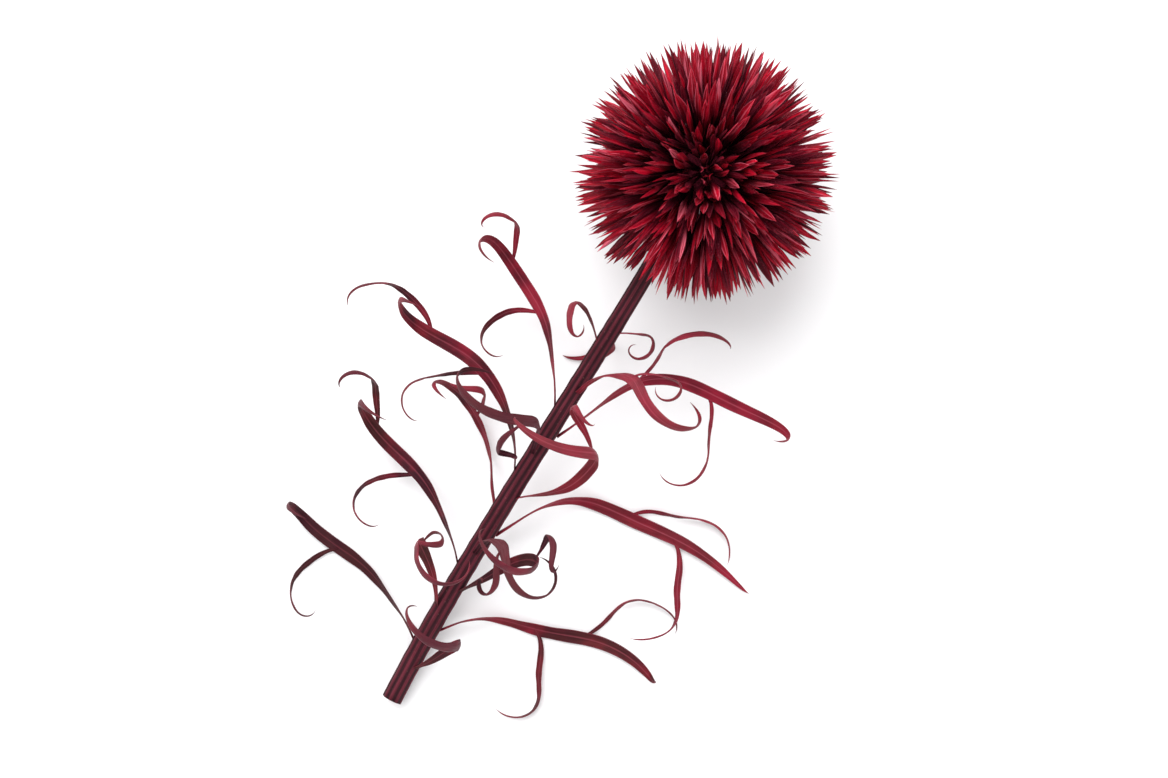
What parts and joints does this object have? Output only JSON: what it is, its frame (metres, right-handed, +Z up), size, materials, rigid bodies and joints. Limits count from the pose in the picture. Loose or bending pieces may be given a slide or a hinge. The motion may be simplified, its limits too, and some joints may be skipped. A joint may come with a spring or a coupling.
{
  "type": "globe thistle flower head",
  "caption": "Round spiky globe thistle flower head on a ribbed stem with curling ribbon leaves, picked and lying on its side.",
  "frame": {"origin": "centre of the bounding box at the surface that the flower lies on", "axes": "+Z up from that surface; +Y along the stem, towards the head"},
  "size_m": [0.0842, 0.126, 0.0433],
  "materials": {
    "bract": "satin, dry papery bract dyed crimson, near-black maroon at its foot",
    "stem": "matte, ribbed dark maroon stem skin",
    "leaf": "satin, thin dry leaf dyed plum"
  },
  "bodies": {
    "root": {"stem": "stem", "floret_01": "bract", "floret_02": "bract", "floret_03": "bract", "floret_04": "bract", "floret_05": "bract", "floret_06": "bract", "floret_07": "bract", "floret_08": "bract", "floret_09": "bract", "floret_10": "bract", "floret_11": "bract", "floret_12": "bract", "floret_13": "bract", "floret_14": "bract", "floret_15": "bract", "floret_16": "bract", "floret_17": "bract", "floret_18": "bract", "floret_19": "bract", "floret_20": "bract", "floret_21": "bract", "floret_22": "bract", "floret_23": "bract", "floret_24": "bract", "floret_25": "bract", "floret_26": "bract", "floret_27": "bract", "floret_28": "bract", "floret_29": "bract", "floret_30": "bract", "floret_31": "bract", "floret_32": "bract", "floret_33": "bract", "floret_34": "bract", "floret_35": "bract", "floret_36": "bract", "floret_37": "bract", "floret_38": "bract", "floret_39": "bract", "floret_40": "bract", "leaf_01": "leaf", "leaf_02": "leaf", "leaf_03": "leaf", "leaf_04": "leaf", "leaf_05": "leaf", "leaf_06": "leaf", "leaf_07": "leaf", "leaf_08": "leaf", "leaf_09": "leaf", "leaf_10": "leaf", "leaf_11": "leaf", "leaf_12": "leaf", "leaf_13": "leaf", "leaf_14": "leaf", "leaf_15": "leaf", "leaf_16": "leaf", "leaf_17": "leaf", "leaf_18": "leaf"}
  },
  "joints": []
}
